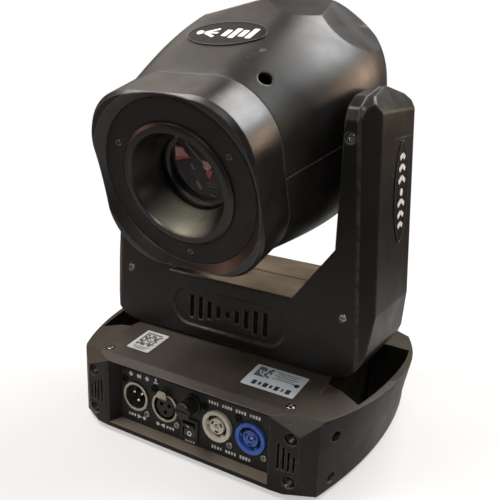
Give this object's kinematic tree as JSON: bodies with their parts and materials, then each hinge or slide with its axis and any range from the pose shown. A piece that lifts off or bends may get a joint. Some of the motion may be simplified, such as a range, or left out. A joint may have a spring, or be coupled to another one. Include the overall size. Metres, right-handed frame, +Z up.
{
  "type": "moving head light",
  "caption": "Motorised spot light: base with carry handles and recessed connector panel, panning yoke, and tilting head with round recessed lens.",
  "frame": {"origin": "centre of the base's underside, on the pan axis", "axes": "+Z up along the pan axis, -Y towards the connector panel, X along the panel and the tilt axis"},
  "size_m": [0.2494, 0.2321, 0.322],
  "materials": {
    "scuffed_abs": "satin moulded plastic, scuffed",
    "painted_steel": "powder coat",
    "rubber": "matte",
    "screw_zinc": "zinc plated",
    "screw_black": "black oxide",
    "panel_black": "fine powder coat",
    "nickel": "satin nickel",
    "insulator_black": "moulded",
    "contact_gold": "gold flash",
    "connector_white": "moulded",
    "connector_blue": "moulded",
    "rocker_gloss": "gloss",
    "display_glass": "tinted window",
    "button_grey": "soft touch",
    "circuit_board": "solder mask",
    "bare_metal": "machined",
    "motor_steel": "laminated",
    "bearing_steel": "ground",
    "belt_rubber": "toothed belt",
    "disc_matte": "matte",
    "cone_satin": "satin",
    "lens_glass": "coated",
    "heat_sink": "extruded",
    "fan_plastic": "moulded",
    "wheel_metal": "anodised"
  },
  "bodies": {
    "base": {"base_shell": "scuffed_abs", "bottom_tray": "painted_steel", "rubber_feet": "rubber", "case_screws": "screw_zinc", "connector_panel": "panel_black", "panel_screws": "screw_black", "signal_inlet_shell": "nickel", "signal_outlet_shell": "nickel", "signal_inserts": "insulator_black", "signal_pins": "contact_gold", "power_outlet": "connector_white", "power_inlet": "connector_blue", "fuse_holder": "insulator_black", "switch_body": "insulator_black", "display_panel": "panel_black", "display_window": "display_glass", "control_board": "circuit_board", "power_supply": "bare_metal", "pan_motor": "motor_steel", "pan_belt": "belt_rubber", "pan_bearing": "bearing_steel"},
    "outlet_latch": {"outlet_latch": "nickel"},
    "fuse_cap": {"fuse_cap": "insulator_black"},
    "rocker": {"switch_rocker": "rocker_gloss"},
    "menu_button": {"button_menu": "button_grey"},
    "up_button": {"button_up": "button_grey"},
    "down_button": {"button_down": "button_grey"},
    "enter_button": {"button_enter": "button_grey"},
    "pan_pinion": {"pan_pinion": "bare_metal"},
    "yoke": {"yoke_front_shell": "scuffed_abs", "yoke_rear_shell": "scuffed_abs", "arm_cover_right": "scuffed_abs", "arm_cover_left": "scuffed_abs", "yoke_frame": "bare_metal", "pan_shaft": "bare_metal", "tilt_motor": "motor_steel", "tilt_belt": "belt_rubber", "tilt_bearings": "bearing_steel", "yoke_screws": "screw_zinc"},
    "tilt_pinion": {"tilt_pinion": "bare_metal"},
    "head": {"head_upper_shell": "scuffed_abs", "head_lower_shell": "scuffed_abs", "rear_cap": "scuffed_abs", "head_bezel": "scuffed_abs", "lens_disc": "disc_matte", "lens_cone": "cone_satin", "front_lens": "lens_glass", "head_screws": "screw_black", "head_frame": "bare_metal", "tilt_shafts": "bare_metal", "led_module": "circuit_board", "heat_sink": "heat_sink", "fan_frame": "fan_plastic", "wheel_motors": "motor_steel"},
    "fan_rotor": {"fan_rotor": "fan_plastic"},
    "color_wheel": {"color_wheel": "wheel_metal"},
    "gobo_wheel": {"gobo_wheel": "wheel_metal"},
    "focus_carriage": {"focus_carriage": "wheel_metal"},
    "prism": {"prism_arm": "wheel_metal"}
  },
  "joints": [
    {"name": "pan", "type": "hinge", "parent": "base", "child": "yoke", "pos_m": [0, 0, 0.05], "axis": [0, 0, 1], "range_deg": [-270, 270]},
    {"name": "pan_pinion_spin", "type": "hinge", "parent": "base", "child": "pan_pinion", "pos_m": [0.058, 0.028, 0.045], "axis": [0, 0, 1], "range_deg": [-1609.1, 1609.1]},
    {"name": "tilt", "type": "hinge", "parent": "yoke", "child": "head", "pos_m": [0, 0, 0.2277], "axis": [1, 0, 0], "range_deg": [-227, 13]},
    {"name": "tilt_pinion_spin", "type": "hinge", "parent": "yoke", "child": "tilt_pinion", "pos_m": [0.094, 0, 0.092], "axis": [1, 0, 0], "range_deg": [-605.6, 37.2]},
    {"name": "fan_spin", "type": "hinge", "parent": "head", "child": "fan_rotor", "pos_m": [0, 0.07171, 0.24966], "axis": [0, -0.9562, -0.2929], "continuous": true},
    {"name": "color_wheel_spin", "type": "hinge", "parent": "head", "child": "color_wheel", "pos_m": [0, -0.02395, 0.24442], "axis": [0, -0.9562, -0.2929], "continuous": true},
    {"name": "gobo_wheel_spin", "type": "hinge", "parent": "head", "child": "gobo_wheel", "pos_m": [0, -0.01621, 0.19868], "axis": [0, -0.9562, -0.2929], "continuous": true},
    {"name": "focus_travel", "type": "slide", "parent": "head", "child": "focus_carriage", "axis": [0, -0.9562, -0.2929], "range_m": [0, 0.012]},
    {"name": "prism_swing", "type": "hinge", "parent": "head", "child": "prism", "pos_m": [0.026, -0.04278, 0.23761], "axis": [0, -0.9562, -0.2929], "range_deg": [-49.8, 0]},
    {"name": "rocker_tilt", "type": "hinge", "parent": "base", "child": "rocker", "pos_m": [0, -0.0818, 0.0164], "axis": [-1, 0, 0], "range_deg": [0, 20]},
    {"name": "fuse_cap_turn", "type": "hinge", "parent": "base", "child": "fuse_cap", "pos_m": [0.002, -0.09, 0.0371], "axis": [0, -1, 0], "range_deg": [0, 90]},
    {"name": "latch_press", "type": "slide", "parent": "base", "child": "outlet_latch", "axis": [0, 1, 0], "range_m": [0, 0.0018], "stiffness_N_per_m": 600},
    {"name": "menu_press", "type": "slide", "parent": "base", "child": "menu_button", "axis": [0, -1, 0], "range_m": [0, 0.001], "stiffness_N_per_m": 500},
    {"name": "up_press", "type": "slide", "parent": "base", "child": "up_button", "axis": [0, -1, 0], "range_m": [0, 0.001], "stiffness_N_per_m": 500},
    {"name": "down_press", "type": "slide", "parent": "base", "child": "down_button", "axis": [0, -1, 0], "range_m": [0, 0.001], "stiffness_N_per_m": 500},
    {"name": "enter_press", "type": "slide", "parent": "base", "child": "enter_button", "axis": [0, -1, 0], "range_m": [0, 0.001], "stiffness_N_per_m": 500}
  ],
  "couplings": [
    {"joint": "pan_pinion_spin", "follows": "pan", "ratio": 5.9375},
    {"joint": "tilt_pinion_spin", "follows": "tilt", "ratio": 2.6562}
  ]
}
